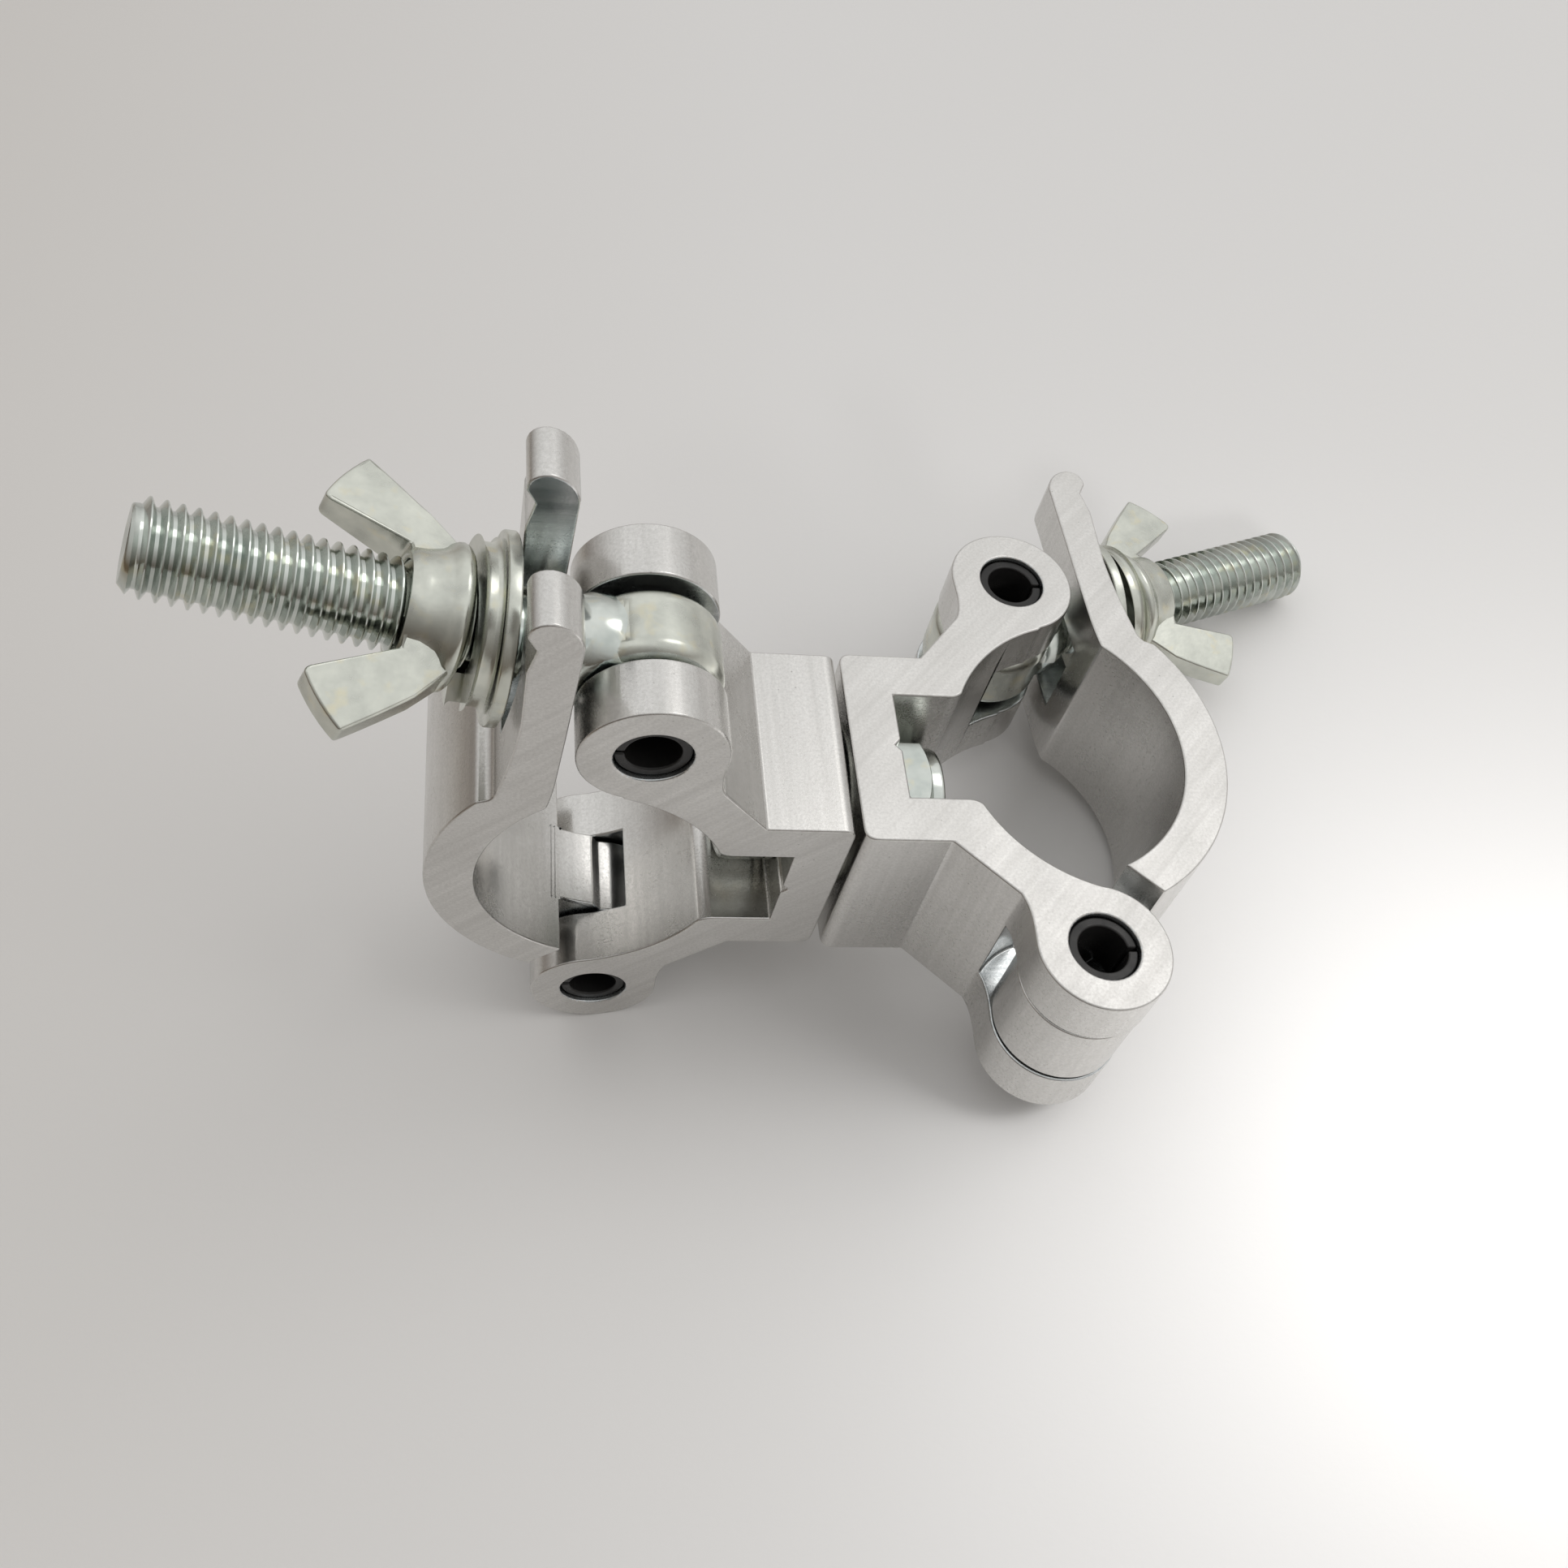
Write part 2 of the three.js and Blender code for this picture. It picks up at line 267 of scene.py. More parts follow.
def upright(obj, centre=(0, 0)):
    """Stands a piece turned about a on the c axis, at a place in the a-b plane."""
    turn = Matrix.Rotation(math.radians(-90), 4, "Y")
    obj.data.transform(Matrix.Translation((*centre, 0)) @ turn)
    return obj


def cylinder(name, centre, radius, width, material, segments=96):
    """A cutter along c."""
    half = width / 2
    profile = [(0, -half), (radius, -half), (radius, half), (0, half)]
    return upright(turned(name, profile, material, segments=segments), centre)


def box(name, low, high, material):
    outline = [(low[0], low[1]), (high[0], low[1]), (high[0], high[1]), (low[0], high[1])]
    obj = prism(name, outline, high[2] - low[2], material)
    obj.data.transform(Matrix.Translation((0, 0, (low[2] + high[2]) / 2)))
    return obj


def settle(obj):
    """Turns the modifiers of a piece into its mesh."""
    depsgraph = bpy.context.evaluated_depsgraph_get()
    mesh = bpy.data.meshes.new_from_object(obj.evaluated_get(depsgraph))
    before = obj.data
    obj.modifiers.clear()
    obj.data = mesh
    bpy.data.meshes.remove(before)


def combine(obj, operation, *tools):
    for tool in tools:
        modifier = obj.modifiers.new("shape", "BOOLEAN")
        modifier.operation = operation
        modifier.solver = "EXACT"
        modifier.material_mode = "TRANSFER"
        modifier.object = tool
        settle(obj)
        bpy.data.objects.remove(tool)
    return obj


def soften(obj, width, segments=2, angle=32):
    """Breaks the sharp edges of a piece."""
    data = bmesh.new()
    data.from_mesh(obj.data)
    bmesh.ops.remove_doubles(data, verts=data.verts, dist=0.01)
    bmesh.ops.dissolve_degenerate(data, dist=0.001, edges=data.edges)
    data.to_mesh(obj.data)
    data.free()
    modifier = obj.modifiers.new("edges", "BEVEL")
    modifier.limit_method = "ANGLE"
    modifier.angle_limit = math.radians(angle)
    modifier.width = width
    modifier.segments = segments
    modifier.use_clamp_overlap = False
    settle(obj)
    return obj


def shaded(obj, angle=42):
    obj.data.shade_smooth()
    obj.data.set_sharp_from_angle(angle=math.radians(angle))
    modifier = obj.modifiers.new("shading", "WEIGHTED_NORMAL")
    modifier.keep_sharp = True
    settle(obj)
    return obj


def place(obj, node, matrix):
    """Puts a finished piece where its CAD node is, on the body of that node."""
    obj.name = f"{node}_detail"
    obj.data.name = obj.name
    obj.data.transform(Matrix.Scale(MM, 4))
    obj.matrix_world = matrix
    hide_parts(node)
    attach(obj, body_of[node])


# ---- materials ----

def new_material(name):
    material = bpy.data.materials.new(name)
    material.use_nodes = True
    tree = material.node_tree
    shader = tree.nodes["Principled BSDF"]
    return material, tree, shader


def node(tree, kind, **inputs):
    made = tree.nodes.new(kind)
    for name, value in inputs.items():
        made.inputs[name].default_value = value
    return made


def millimetres(tree, stretch=(1, 1, 1), turn=0):
    """The piece's own coordinates in mm, turned about c and then stretched."""
    coordinates = tree.nodes.new("ShaderNodeTexCoord")
    turned_by = node(tree, "ShaderNodeMapping")
    turned_by.inputs["Rotation"].default_value = (0, 0, math.radians(turn))
    scaled = node(tree, "ShaderNodeMapping")
    scaled.inputs["Scale"].default_value = [s / MM for s in stretch]
    tree.links.new(coordinates.outputs["Object"], turned_by.inputs["Vector"])
    tree.links.new(turned_by.outputs["Vector"], scaled.inputs["Vector"])
    return scaled.outputs["Vector"]


def noise(tree, vector, scale, detail=3, roughness=0.5):
    made = node(tree, "ShaderNodeTexNoise", Scale=scale, Detail=detail, Roughness=roughness)
    tree.links.new(vector, made.inputs["Vector"])
    return made.outputs["Fac"]


def spread(tree, value, low, high, to_low, to_high):
    """Stretches a value from one range to another, held inside it."""
    made = tree.nodes.new("ShaderNodeMapRange")
    for name, number in zip(("From Min", "From Max", "To Min", "To Max"), (low, high, to_low, to_high)):
        made.inputs[name].default_value = number
    tree.links.new(value, made.inputs["Value"])
    return made.outputs["Result"]


def calculate(tree, operation, first, second):
    made = tree.nodes.new("ShaderNodeMath")
    made.operation = operation
    for socket, value in zip(made.inputs, (first, second)):
        if isinstance(value, (int, float)):
            socket.default_value = value
        else:
            tree.links.new(value, socket)
    return made.outputs[0]


def blend_colours(tree, share, first, second):
    made = tree.nodes.new("ShaderNodeMix")
    made.data_type = "RGBA"
    tree.links.new(share, made.inputs["Factor"])
    for socket, value in ((made.inputs["A"], first), (made.inputs["B"], second)):
        if isinstance(value, tuple):
            socket.default_value = (*value, 1)
        else:
            tree.links.new(value, socket)
    return made.outputs["Result"]


def bump(tree, shader, height, distance):
    made = node(tree, "ShaderNodeBump", Strength=1.0, Distance=distance * MM)
    tree.links.new(height, made.inputs["Height"])
    tree.links.new(made.outputs["Normal"], shader.inputs["Normal"])


def pits(tree, vector, scale, size):
    """One at the bottom of small scattered pits, zero between them."""
    made = node(tree, "ShaderNodeTexVoronoi", Scale=scale)
    tree.links.new(vector, made.inputs["Vector"])
    return spread(tree, made.outputs["Distance"], size * 0.5, size, 1, 0)


def aluminium(name, light, dark, roughness, stretch, turn, contrast, depth):
    """Aluminium with drawn or cut lines, smudges and a few pits."""
    material, tree, shader = new_material(name)
    shader.inputs["Metallic"].default_value = 1.0
    plain = millimetres(tree)
    lines = noise(tree, millimetres(tree, stretch, turn), 1.0, 4, 0.55)
    smudge = noise(tree, plain, 0.09, 4, 0.6)
    grain = noise(tree, plain, 2.4, 4, 0.75)
    wander = noise(tree, plain, 0.07, 2)
    specks = calculate(
        tree, "MULTIPLY", pits(tree, plain, 0.55, 0.09), spread(tree, wander, 0.5, 0.62, 0, 1))

    tone = calculate(tree, "MULTIPLY", spread(tree, lines, 0.3, 0.7, 1 - contrast, 1.0),
                     spread(tree, grain, 0.32, 0.62, 0.4, 1.0))
    tone = calculate(tree, "MULTIPLY", tone, spread(tree, smudge, 0.3, 0.7, 0.75, 1.0))
    colour = blend_colours(tree, tone, dark, light)
    shade = calculate(tree, "MULTIPLY", specks, 0.5)
    colour = blend_colours(tree, shade, colour, (0.2, 0.19, 0.18))
    tree.links.new(colour, shader.inputs["Base Color"])

    rough = calculate(tree, "MULTIPLY", spread(tree, smudge, 0.25, 0.75, 1.2, 0.85),
                      spread(tree, grain, 0.3, 0.7, roughness * 1.15, roughness * 0.9))
    tree.links.new(rough, shader.inputs["Roughness"])

    relief = calculate(tree, "ADD", calculate(tree, "MULTIPLY", grain, 0.6),
                       calculate(tree, "MULTIPLY", lines, contrast * 1.5))
    bump(tree, shader, relief, depth)
    return material


def zinc(name, light, dark, roughness, depth):
    """Bright zinc plating with a faint straw tint in places."""
    material, tree, shader = new_material(name)
    shader.inputs["Metallic"].default_value = 1.0
    plain = millimetres(tree)
    cloud = noise(tree, plain, 0.22, 3, 0.55)
    tint = noise(tree, plain, 0.35, 2)
    peel = noise(tree, plain, 1.3, 3, 0.55)
    colour = blend_colours(tree, spread(tree, cloud, 0.3, 0.7, 0, 1), dark, light)
    straw = (0.72, 0.66, 0.46)
    colour = blend_colours(tree, spread(tree, tint, 0.58, 0.74, 0, 0.5), colour, straw)
    tree.links.new(colour, shader.inputs["Base Color"])
    rough = spread(tree, cloud, 0.25, 0.75, roughness * 1.35, roughness * 0.8)
    tree.links.new(rough, shader.inputs["Roughness"])
    bump(tree, shader, peel, depth)
    return material


def black_steel():
    material, tree, shader = new_material("black oxide spring steel")
    shader.inputs["Specular IOR Level"].default_value = 0.35
    plain = millimetres(tree)
    cloud = noise(tree, plain, 0.5, 4, 0.6)
    lines = noise(tree, millimetres(tree, (3, 3, 0.1)), 1.0, 3)
    tree.links.new(
        blend_colours(tree, cloud, (0.006, 0.006, 0.006), (0.02, 0.019, 0.018)),
        shader.inputs["Base Color"],
    )
    tree.links.new(spread(tree, cloud, 0.3, 0.7, 0.38, 0.24), shader.inputs["Roughness"])
    bump(tree, shader, lines, 0.006)
    return material


def nylon():
    material, tree, shader = new_material("nylon")
    plain = millimetres(tree)
    grain = noise(tree, plain, 3.0, 3)
    tree.links.new(
        blend_colours(tree, grain, (0.62, 0.59, 0.5), (0.72, 0.69, 0.6)),
        shader.inputs["Base Color"],
    )
    tree.links.new(spread(tree, grain, 0.3, 0.7, 0.4, 0.55), shader.inputs["Roughness"])
    bump(tree, shader, grain, 0.02)
    return material


EXTRUDED = aluminium(
    "extruded aluminium", (0.76, 0.75, 0.73), (0.50, 0.49, 0.47), 0.24, (0.9, 0.9, 0.03), 0, 0.35, 0.012)
SAWN = {
    side: aluminium(
        f"sawn aluminium, {side}", (0.76, 0.75, 0.73), (0.52, 0.51, 0.49), 0.37,
        (0.03, 0.9, 0.9), turn, 0.5, 0.016)
    for side, turn in (("right", -47), ("left", 47))
}
MACHINED = aluminium(
    "machined aluminium", (0.88, 0.90, 0.90), (0.46, 0.49, 0.50), 0.24, (0.03, 0.9, 0.9), 0, 0.9, 0.012)
PLATED = zinc("zinc plated forging", (0.70, 0.715, 0.645), (0.50, 0.515, 0.47), 0.23, 0.01)
BRIGHT = zinc("zinc plated thread", (0.70, 0.73, 0.69), (0.50, 0.54, 0.51), 0.15, 0.004)
BLACK = black_steel()
NYLON = nylon()


# ---- the half clamps ----

def body_side(lug, side):
    """The body's outline on one side of b = 0, from the meeting face to the recess floor."""
    top = BASE_HEIGHT / 2
    mouth = RECESS_HEIGHT / 2
    lug_a, lug_b = lug[0], abs(lug[1])
    seat_from = 180 - math.degrees(math.asin(SEAT_TIP / SEAT_RADIUS))
    seat_to = 180 - math.degrees(math.asin(SEAT_MOUTH / SEAT_RADIUS))
    seat_end = polar(SEAT_CENTRE, SEAT_RADIUS, seat_to)
    points = [
        (0, 0),
        *bend((0, top - 2), (0, top), (2, top)),
        (BASE_DEPTH, top),
        *bend((lug_a - 10.4, lug_b - 8), (lug_a - 9.5, lug_b - 6.2), (lug_a - 9.55, lug_b - 3)),
        *arc((lug_a, lug_b), LUG_RADIUS, 180, -72),
        *arc(SEAT_CENTRE, SEAT_RADIUS, seat_from, seat_to),
        *bend(seat_end, (17.2, mouth), (16, mouth)),
        (WEB, mouth),
        (WEB, 1),
        (WEB - 0.9, 0),
    ]
    return [(a, side * b) for a, b in points]


def make_body(side):
    upper = body_side(EYE_CENTRE, 1)
    lower = body_side(HINGE_CENTRE, -1)
    outline = upper[1:] + lower[1:-1][::-1]
    body = prism(f"{side}_body", outline, HALF_WIDTH, EXTRUDED, SAWN[side])
    for centre in (EYE_CENTRE, HINGE_CENTRE):
        combine(
            body, "DIFFERENCE",
            cylinder("slot", centre, SLOT_RADIUS, LUG_SLOT, MACHINED),
            cylinder("hole", centre, PIN_HOLE_RADIUS, HALF_WIDTH + 2, MACHINED, 72),
        )
    bore_radius = SWIVEL_RADIUS + GAP
    bore = turned("bore", [(0, -1), (bore_radius, -1), (bore_radius, 12), (0, 12)], MACHINED)
    combine(body, "DIFFERENCE", bore)
    return shaded(soften(body, 0.36, 3))


def make_jaw(side):
    inner_centre, inner_radius = JAW_INNER
    outer_centre, outer_radius = JAW_OUTER
    outline = [
        *arc(inner_centre, inner_radius, -64.5, 50),
        *bend(polar(inner_centre, inner_radius, 50), (41.9, 22), (41.6, 25.5)),
        (41.1, 36),
        *bend((40.4, 54), (41.2, 57.6), (44.2, 58.2)),
        *bend((44.2, 58.2), (46.9, 58.2), (47, 55.4)),
        (45.8, 53.2),
        (46.7, 49),
        *bend((46.7, 38.5), (46.9, 33), (48.9, 23)),
        *bend((48.9, 23), (49.4, 21.8), (50.2, 21.6), 3),
        *arc(outer_centre, outer_radius, 38, -61),
    ]
    jaw = prism(f"{side}_jaw", outline, HALF_WIDTH, EXTRUDED, SAWN[side])
    tongue_width = LUG_SLOT - 2 * TONGUE_CLEARANCE
    tongue = prism("tongue", [
        *arc(inner_centre, inner_radius, -60, -78),
        polar(HINGE_CENTRE, BARREL_RADIUS, 92),
        HINGE_CENTRE,
        polar(HINGE_CENTRE, BARREL_RADIUS, 0),
        polar(outer_centre, outer_radius, -59),
        polar(outer_centre, outer_radius, -54),
    ], tongue_width, EXTRUDED, MACHINED)
    barrel = cylinder("barrel", HINGE_CENTRE, BARREL_RADIUS, tongue_width, EXTRUDED)
    combine(jaw, "UNION", tongue, barrel)
    half_slot = FORK_SLOT / 2
    combine(
        jaw, "DIFFERENCE",
        box("fork", (25, FORK_SLOT_END, -half_slot), (65, 86, half_slot), MACHINED),
        cylinder("hole", HINGE_CENTRE, PIN_HOLE_RADIUS, HALF_WIDTH, MACHINED, 72),
    )
    return shaded(soften(jaw, 0.34, 3))


def make_pin(name):
    outer = PIN_RADIUS
    inner = PIN_RADIUS - PIN_WALL
    open_outer = math.degrees(math.asin(PIN_SLIT / 2 / outer))
    open_inner = math.degrees(math.asin(PIN_SLIT / 2 / inner))
    outline = [
        *arc((0, 0), outer, open_outer, 360 - open_outer, 0.5),
        *arc((0, 0), inner, 360 - open_inner, open_inner, 0.45),
    ]
    return shaded(soften(prism(name, outline, PIN_LENGTH, BLACK), 0.3, 3))


# ---- threads, eye bolts, washers and wing nuts ----

# The thread's shape over one pitch: share of the pitch, share of the depth.
THREAD_SHAPE = ((0, 0), (0.12, 0), (0.4, 0.88), (0.455, 1), (0.545, 1), (0.6, 0.88), (0.88, 0))


def thread(data, start, end, crest, root, tip, segments):
    """A right-hand thread along a, rising out of its mean radius and chamfered at the tip."""
    per_turn = len(THREAD_SHAPE)
    mean = (crest + root) / 2
    rows = math.ceil((end - start) / PITCH * per_turn) + per_turn + 2
    grid = {}
    for row in range(-per_turn, rows):
        turn, step = divmod(row, per_turn)
        share, height = THREAD_SHAPE[step]
        for i in range(segments):
            a = start + PITCH * (turn + share + i / segments)
            a = min(max(a, start), end)
            fade = min(1, (a - start) / (2 * PITCH))
            radius = mean + (root + height * (crest - root) - mean) * fade
            radius = min(radius, tip + end - a)
            angle = 2 * math.pi * i / segments
            place_at = (a, radius * math.cos(angle), radius * math.sin(angle))
            grid[row, i] = data.verts.new(place_at)
    for row in range(-per_turn, rows - 1):
        for i in range(segments):
            j = (i + 1) % segments
            other = row + (per_turn if j == 0 else 0)
            if other + 1 < rows:
                corners = (grid[row, i], grid[other, j], grid[other + 1, j], grid[row + 1, i])
                data.faces.new(corners)


def make_eyebolt(side, segments=72):
    data = bmesh.new()
    tip = ROOT - 0.25
    neck = [
        (0, 3), (7.4, 3), (7.5, 7.2), (7.2, 9.4), (6.4, 11.2),
        (MEAN_RADIUS, COLLAR_END), (MEAN_RADIUS, THREAD_START),
    ]
    rings = [ring_at(data, r, a, segments) for r, a in neck]
    for ring in rings:
        for vert in ring:
            limit = EYE_WIDTH / 2 + max(0, vert.co.x - 8) * 0.5
            vert.co.z = max(-limit, min(limit, vert.co.z))
    skin(data, rings)
    thread(data, THREAD_START, BOLT_END, CREST, ROOT, tip, segments)
    end = [(tip, BOLT_END), (tip - 0.8, BOLT_END + 0.05), (1.6, BOLT_END - 0.35), (0, BOLT_END - 0.4)]
    skin(data, [ring_at(data, r, a, segments) for r, a in end])
    weld(data)
    shank = as_object(f"{side}_eyebolt", data, BRIGHT)

    half = EYE_WIDTH / 2
    hole = PIN_HOLE_RADIUS
    round_edge = [
        (EYE_RADIUS - 2.4 + 2.4 * math.sin(t), half - 2.2 + 2.2 * math.cos(t))
        for t in [math.radians(d) for d in range(0, 91, 10)]
    ]
    profile = [
        (hole, 0), (hole, half - 0.5), (hole + 0.5, half),
        *round_edge,
        *[(r, -a) for r, a in round_edge[::-1]],
        (hole + 0.5, -half), (hole, 0.5 - half),
    ]
    eye = upright(turned("eye", profile, PLATED, closed=True))
    combine(shank, "UNION", eye)
    hole_cutter = cylinder("hole", (0, 0), hole, 40, PLATED)
    combine(shank, "DIFFERENCE", hole_cutter)
    return shaded(shank, 50)


def make_washer(name, outer, inner, thickness, edge=0.3, material=None):
    half = thickness / 2
    profile = [
        (inner, edge - half), (inner + edge, -half),
        (outer - edge * 1.4, -half), (outer - edge * 0.4, 0.4 * edge - half), (outer, edge - half),
        (outer, half - edge), (outer - edge * 0.4, half - 0.4 * edge), (outer - edge * 1.4, half),
        (inner + edge, half), (inner, half - edge),
    ]
    return shaded(turned(name, profile, material or PLATED, closed=True))


def make_spring_washer(name, segments=120):
    """A split ring, one turn of a flat right-hand helix."""
    inner, outer, thickness, rise, split_at = SPRING_WASHER.values()
    half = thickness / 2
    corner = 0.75
    section = [
        *arc((half - corner, inner + corner), corner, 0, -90, 0.3),
        *arc((corner - half, inner + corner), corner, 270, 180, 0.3),
        *arc((corner - half, outer - corner), corner, 180, 90, 0.3),
        *arc((half - corner, outer - corner), corner, 90, 0, 0.3),
    ]
    data = bmesh.new()
    rings = []
    for i in range(segments + 1):
        angle = math.radians(split_at + 5 + 350 * i / segments)
        lift = rise * (i / segments - 0.5)
        rings.append([
            data.verts.new((a + lift, r * math.cos(angle), r * math.sin(angle))) for a, r in section
        ])
    skin(data, rings)
    data.faces.new(rings[0])
    data.faces.new(rings[-1][::-1])
    return shaded(as_object(name, data, PLATED), 50)


def make_wing(name):
    """One wing, a along the bolt and b away from it, spreading towards the hub."""
    inner_b, inner_a = WING_INNER_TIP
    outer_b, outer_a = WING_OUTER_TIP
    root = NUT_HEIGHT - 0.2
    outline = [
        (0.9, 4), (0.9, 8.7),
        *bend((4.6, 12.5), (outer_a - 3, outer_b - 2), (outer_a, outer_b)),
        *bend((outer_a, outer_b), (outer_a + 3, outer_b - 2.9), (inner_a, inner_b + 0.8)),
        *bend((inner_a, inner_b + 0.8), (inner_a + 0.3, inner_b), (inner_a - 0.6, inner_b - 0.4)),
        (root, 7.1), (root, 4),
    ]
    wing = prism(name, outline, WING_THICKNESS, PLATED)
    for vert in wing.data.vertices:
        vert.co.z *= 1.22 - 0.02 * vert.co.y + 0.02 * max(0, 12.5 - vert.co.y) ** 2
    return soften(wing, 0.4, 3)


def make_wing_nut(side):
    profile = [
        (NUT_BORE + 0.6, 0), (8.2, 0), (8.75, 0.2), (9.15, 0.6), (9.3, 1.1), (9.2, 1.6), (8.9, 2.1),
        (8.4, 2.6), (8.0, 3.2), (7.75, 4.1), (7.5, 5.2), (7.35, NUT_HEIGHT - 0.6), (6.9, NUT_HEIGHT),
        (NUT_BORE + 0.5, NUT_HEIGHT), (NUT_BORE, NUT_HEIGHT - 0.5), (NUT_BORE, 0.6),
    ]
    hub = turned(f"{side}_wing_nut", profile, PLATED, closed=True)
    wings = [make_wing("wing"), make_wing("wing")]
    wings[1].data.transform(Matrix.Rotation(math.pi, 4, "X"))
    combine(hub, "UNION", *wings)
    bore = turned("bore", [(0, -1), (NUT_BORE, -1), (NUT_BORE, 20), (0, 20)], PLATED)
    combine(hub, "DIFFERENCE", bore)
    return shaded(hub, 38)


# ---- swivel ----

FLOOR_AT = FACE_GAP / 2 + WEB


def make_swivel_bolt(segments=72):
    seat = -(FLOOR_AT + HEAD_WASHER_THICKNESS + 2 * GAP)
    top = seat - HEAD_HEIGHT
    end = FLOOR_AT + SWIVEL_NUT_HEIGHT + GAP + LOCK_RING_THICKNESS - 0.7
    data = bmesh.new()
    head = [
        (0, top), (HEAD_RADIUS - 1, top), (HEAD_RADIUS - 0.3, top + 0.3), (HEAD_RADIUS, top + 1),
        (HEAD_RADIUS, seat - 0.2), (HEAD_RADIUS - 0.2, seat), (CREST, seat), (CREST, 1),
        (MEAN_RADIUS, 2),
    ]
    skin(data, [ring_at(data, r, a, segments) for r, a in head])
    thread(data, 2, end, CREST, ROOT, ROOT - 0.2, segments)
    tip = [(ROOT - 0.2, end), (0, end)]
    skin(data, [ring_at(data, r, a, segments) for r, a in tip])
    weld(data)
    bolt = as_object("swivel_bolt", data, BRIGHT)
    bottom = top + SOCKET_DEPTH
    socket = turned("socket", [
        (0, top - 1), (SOCKET_RADIUS, top - 1), (SOCKET_RADIUS, bottom), (0, bottom + 1),
    ], BLACK, segments=6)
    return shaded(combine(bolt, "DIFFERENCE", socket))


def make_swivel_nut():
    """A hexagon nut with a thin collar round its lock ring."""
    start = FLOOR_AT + GAP
    end = start + SWIVEL_NUT_HEIGHT
    top = end + COLLAR_HEIGHT
    corner = NUT_ACROSS_FLATS / math.sqrt(3)
    hexagon = [(0, start), (corner, start), (corner, end), (0, end)]
    nut = turned("swivel_nut", hexagon, BRIGHT, segments=6)
    blank = turned("blank", [
        (0, start - 1), (corner - 0.6, start - 1), (corner - 0.6, start), (corner + 0.1, start + 0.6),
        (corner + 0.1, end - 1.1), (corner - 1.4, end), (corner - 1.4, end + 1), (0, end + 1),
    ], BRIGHT)
    combine(nut, "INTERSECT", blank)
    collar = turned("collar", [
        (0, end - 1), (COLLAR_RADIUS, end - 1), (COLLAR_RADIUS, top - 0.7),
        (COLLAR_RADIUS - 0.15, top - 0.25), (COLLAR_RADIUS - 0.45, top), (0, top),
    ], BRIGHT)
    combine(nut, "UNION", collar)
    pocket_radius = LOCK_RING_RADIUS + GAP / 2
    bore = turned("bore", [(0, 0), (SWIVEL_RADIUS, 0), (SWIVEL_RADIUS, end + 1), (0, end + 1)], BRIGHT)
    pocket = turned("pocket", [(0, end), (pocket_radius, end), (pocket_radius, 30), (0, 30)], BRIGHT)
    combine(nut, "DIFFERENCE", bore, pocket)
    return shaded(soften(nut, 0.12, 2, 28))


# ---- assembly ----

for side in SIDES:
    half = half_frame(side)
    bolt = bolt_frame(side)
    stack = STACK[side]
    place(make_body(side), f"{side}_body", half)
    place(make_jaw(side), f"{side}_jaw", half)
    for pin, centre in ((f"{side}_hinge_pin", HINGE_CENTRE), (f"{side}_eyebolt_pin", EYE_CENTRE)):
        at_centre = half @ Matrix.Translation((centre[0] * MM, centre[1] * MM, 0))
        place(make_pin(pin), pin, at_centre)
    place(make_eyebolt(side), f"{side}_eyebolt", bolt)
    flat = make_washer(f"{side}_flat", **FLAT_WASHER)
    place(flat, f"{side}_flat_washer", bolt @ on_bolt(*stack["flat"]))
    spring = make_spring_washer(f"{side}_spring")
    place(spring, f"{side}_spring_washer", bolt @ on_bolt(*stack["spring"]))
    nut = make_wing_nut(side)
    place(nut, f"{side}_wing_nut", bolt @ on_bolt(stack["nut"], turn=stack["turn"]))

swivel = swivel_frame()
place(make_swivel_bolt(), "swivel_bolt", swivel)
place(make_swivel_nut(), "swivel_nut", swivel)
clear_radius = SWIVEL_RADIUS + GAP
thrust = make_washer("thrust", THRUST_WASHER_RADIUS, clear_radius, FACE_GAP - 2 * GAP, 0.1)
place(thrust, "swivel_thrust_washer", swivel)
head_washer = make_washer("head_washer", HEAD_RADIUS, clear_radius, HEAD_WASHER_THICKNESS, 0.15)
head_washer_at = -(FLOOR_AT + GAP + HEAD_WASHER_THICKNESS / 2)
place(head_washer, "swivel_head_washer", swivel @ on_bolt(head_washer_at))
lock_ring = make_washer("lock_ring", LOCK_RING_RADIUS, SWIVEL_RADIUS, LOCK_RING_THICKNESS, 0.3, NYLON)
lock_ring_at = FLOOR_AT + SWIVEL_NUT_HEIGHT + 1.5 * GAP + LOCK_RING_THICKNESS / 2
place(lock_ring, "swivel_lock_ring", swivel @ on_bolt(lock_ring_at))


# ---- floor, light and camera ----

FLOOR_HALF = 3.0                # metres
PALE_SIDE = (0.3, 0.25, 0.92)   # directions in the room
DARK_SIDE = (-0.3, -0.8, 0.5)
WINDOW_SIDE = (0.66, 0.30, 0.68)


def make_floor():
    data = bmesh.new()
    signs = ((-1, -1), (1, -1), (1, 1), (-1, 1))
    corners = [data.verts.new((x * FLOOR_HALF, y * FLOOR_HALF, 0)) for x, y in signs]
    data.faces.new(corners)
    material, tree, shader = new_material("pale board")
    plain = millimetres(tree)
    cloud = noise(tree, plain, 0.006, 3)
    grain = noise(tree, plain, 0.9, 3)
    split = tree.nodes.new("ShaderNodeSeparateXYZ")
    tree.links.new(plain, split.inputs["Vector"])
    # Painted shadow: the board turns darker and warmer towards -x over 600 mm, a painted penumbra of the
    # clamp's shadow on its left.
    away = spread(tree, split.outputs["X"], -600, 0, 1, 0)
    board = blend_colours(tree, cloud, (0.715, 0.705, 0.695), (0.75, 0.742, 0.735))
    board = blend_colours(tree, away, board, (0.50, 0.455, 0.40))
    tree.links.new(board, shader.inputs["Base Color"])
    tree.links.new(spread(tree, cloud, 0.3, 0.7, 0.36, 0.44), shader.inputs["Roughness"])
    bump(tree, shader, grain, 0.02)
    as_object("floor", data, material)


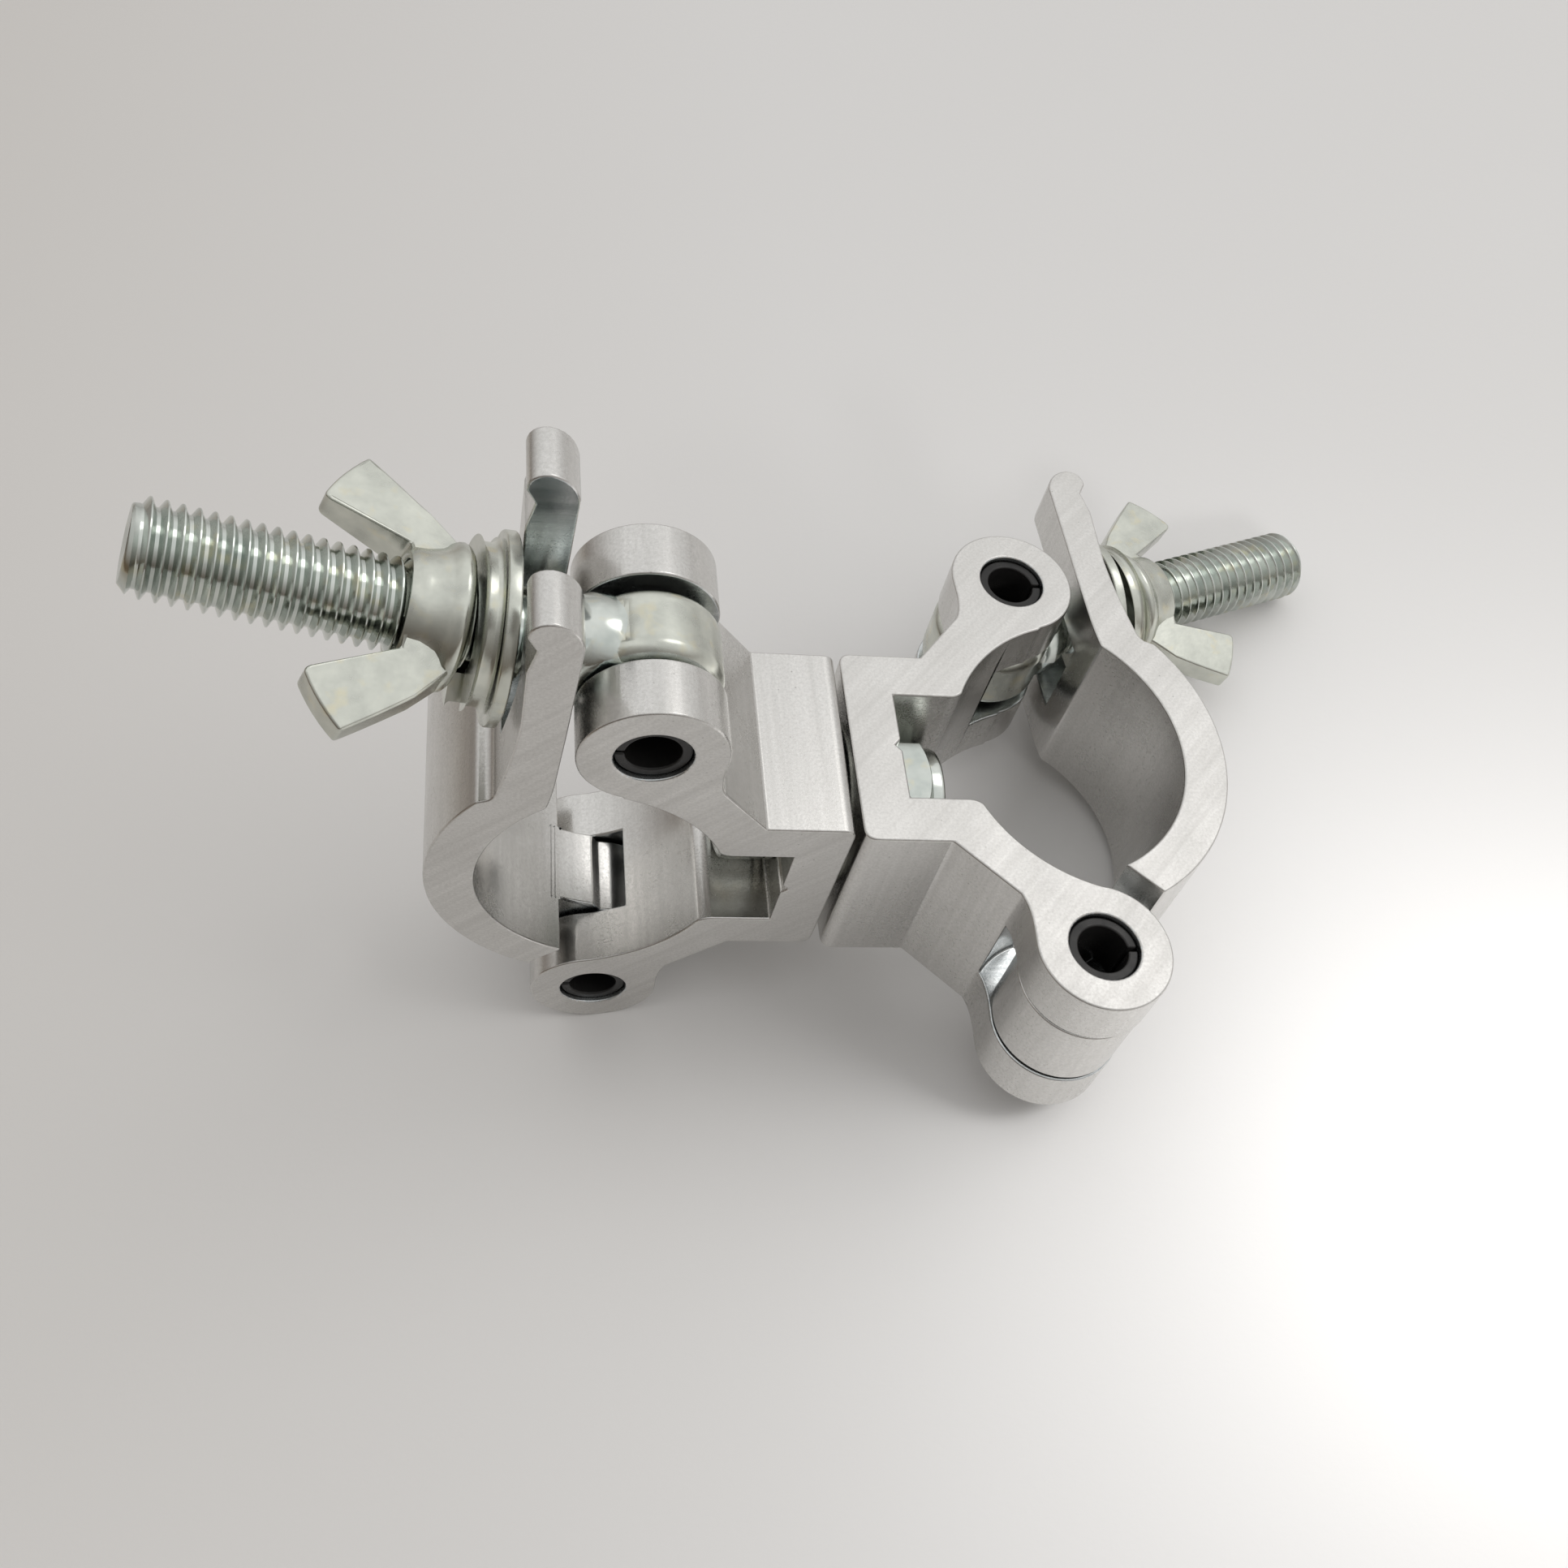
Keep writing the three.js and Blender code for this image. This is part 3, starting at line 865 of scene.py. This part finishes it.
def area_light(name, place_at, target, size, power, colour):
    light = bpy.data.lights.new(name, "AREA")
    light.shape = "RECTANGLE"
    light.size, light.size_y = size
    light.energy = power
    light.color = colour
    obj = bpy.data.objects.new(name, light)
    bpy.context.scene.collection.objects.link(obj)
    obj.location = place_at
    obj.rotation_euler = (Vector(target) - Vector(place_at)).to_track_quat("-Z", "Y").to_euler()
    obj.visible_glossy = False


def toward(tree, coordinates, direction, start, full):
    """Rises from zero to one where the world turns towards a direction."""
    product = tree.nodes.new("ShaderNodeVectorMath")
    product.operation = "DOT_PRODUCT"
    product.inputs[1].default_value = Vector(direction).normalized()
    tree.links.new(coordinates, product.inputs[0])
    return spread(tree, product.outputs["Value"], start, full, 0, 1)


def make_lights():
    """A pale room, a window high on the right, and a darker side at the front left."""
    world = bpy.data.worlds.new("studio")
    bpy.context.scene.world = world
    world.use_nodes = True
    tree = world.node_tree
    background = tree.nodes["Background"]
    around = tree.nodes.new("ShaderNodeTexCoord").outputs["Generated"]
    pale = toward(tree, around, PALE_SIDE, -0.2, 0.8)
    colour = blend_colours(tree, pale, (0.14, 0.108, 0.08), (0.96, 0.96, 0.955))
    gloom = calculate(tree, "MULTIPLY", toward(tree, around, DARK_SIDE, 0.6, 0.95), 0.55)
    colour = blend_colours(tree, gloom, colour, (0.13, 0.12, 0.11))
    window = toward(tree, around, WINDOW_SIDE, 0.972, 0.988)
    colour = blend_colours(tree, window, colour, (2.8, 2.76, 2.72))
    tree.links.new(colour, background.inputs["Color"])
    background.inputs["Strength"].default_value = 0.95
    area_light("window", (0.95, -0.2, 0.85), (0, 0, 0.03), (0.9, 0.7), 3.0, (1, 0.985, 0.965))
    area_light("bounce", (0.09, -0.075, 0.09), (0.095, -0.07, 0), (0.03, 0.03), 0.07, (1, 1, 1))


def make_camera():
    """The camera, from its place in mm and its directions in the frame of the swivel."""
    position = Vector((-57.60, -134.41, 195.10)) * MM
    right = Vector((0.97698, -0.09744, 0.18979))
    down = Vector((0.02899, -0.82071, -0.57061))
    forward = Vector((0.21136, 0.56298, -0.79899))
    turn = Matrix((right, -down, -forward)).transposed().to_4x4()
    data = bpy.data.cameras.new("camera")
    data.sensor_width = 36
    data.lens = 37.65
    data.clip_start = 0.01
    camera = bpy.data.objects.new("camera", data)
    bpy.context.scene.collection.objects.link(camera)
    camera.matrix_world = swivel_frame() @ Matrix.Translation(position) @ turn
    bpy.context.scene.camera = camera


make_floor()
make_lights()
make_camera()
bpy.context.scene.view_settings.view_transform = "Standard"
